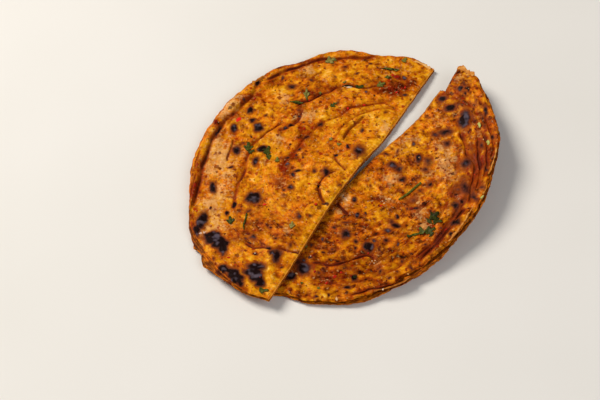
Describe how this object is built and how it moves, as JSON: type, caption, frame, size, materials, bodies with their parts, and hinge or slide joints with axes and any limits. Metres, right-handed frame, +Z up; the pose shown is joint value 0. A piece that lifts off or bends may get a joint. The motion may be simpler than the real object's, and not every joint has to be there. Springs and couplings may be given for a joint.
{
  "type": "paratha flatbread",
  "caption": "Round layered laccha paratha cut across into halves that lie together, with coiled folds and a browned crust.",
  "frame": {"origin": "on the table, under the middle of the pair's plan", "axes": "+Z up; the cut runs about 55 degrees round from +X towards +Y, and the gap in it opens at the +Y end; the right half curls up towards +X"},
  "size_m": [0.1968, 0.2002, 0.0211],
  "materials": {
    "crust_left": null,
    "crust_right": "the same dough, a little browner and oilier"
  },
  "bodies": {
    "root": {"half_left": "crust_left", "half_right": "crust_right"}
  },
  "joints": []
}
